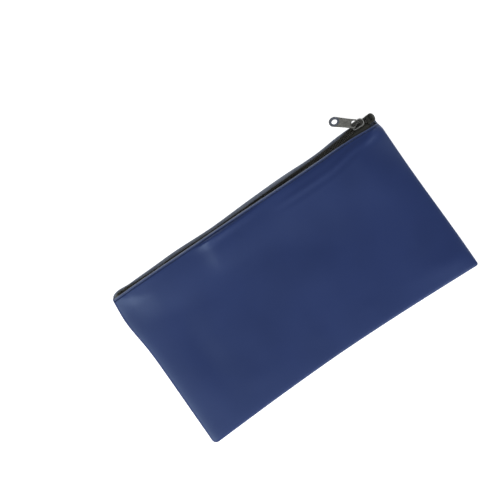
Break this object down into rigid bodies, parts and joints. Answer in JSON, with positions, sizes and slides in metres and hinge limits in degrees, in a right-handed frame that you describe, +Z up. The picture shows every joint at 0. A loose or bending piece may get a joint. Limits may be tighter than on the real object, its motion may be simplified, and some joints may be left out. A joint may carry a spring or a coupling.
{
  "type": "cash deposit bag",
  "caption": "Flat zippered vinyl cash deposit bag with a coil zipper along the long edge and a metal slider with a pull tab.",
  "frame": {"origin": "On the floor under the middle of the bag, halfway between the bottom seam and the front hem of the mouth", "axes": "+X along the zipper towards its closed end, +Y from the bottom seam towards the zipper, +Z up out of the front panel"},
  "size_m": [0.2834, 0.1777, 0.0119],
  "materials": {
    "navy_vinyl": "satin grained",
    "tape": "woven",
    "coil": "semi-gloss",
    "thread": "matte",
    "gunmetal": "dark satin plating",
    "spring_steel": "bright"
  },
  "bodies": {
    "root": {"back_panel": "navy_vinyl", "zipper_tape_back": "tape", "coil_back": "coil", "core_cord_back": "tape", "coil_thread_back": "thread", "hem_thread_back": "thread", "side_thread_left": "thread", "side_thread_right": "thread", "bottom_thread": "thread", "end_tab_left": "tape", "end_tab_right": "tape", "bar_tack_left": "thread", "bar_tack_right": "thread", "top_stop_back": "gunmetal", "bottom_stop": "gunmetal"},
    "front_side": {"front_panel": "navy_vinyl", "hem_thread_front": "thread", "zipper_tape_front": "tape", "coil_front": "coil", "core_cord_front": "tape", "coil_thread_front": "thread", "top_stop_front": "gunmetal"},
    "slider": {"slider_body": "gunmetal", "slider_crown": "gunmetal", "pawl_spring": "spring_steel"},
    "pull": {"pull_tab": "gunmetal"}
  },
  "joints": [
    {"name": "slider_travel", "type": "slide", "parent": "root", "child": "slider", "axis": [1, 0, 0], "range_m": [-0.2335, 0]},
    {"name": "mouth_open", "type": "hinge", "parent": "root", "child": "front_side", "pos_m": [0, -0.0765, 0.0017], "axis": [1, 0, 0], "range_deg": [0, 14], "deforming": ["zipper_tape_front", "coil_front", "core_cord_front", "coil_thread_front", "top_stop_front"]},
    {"name": "pull_swing", "type": "hinge", "parent": "slider", "child": "pull", "pos_m": [0.1202, 0.08437, 0.00991], "axis": [0.7045, 0.6018, -0.3761], "range_deg": [0, 170]}
  ],
  "couplings": [
    {"joint": "mouth_open", "follows": "slider_travel", "rad_per_m": -1.0454}
  ]
}
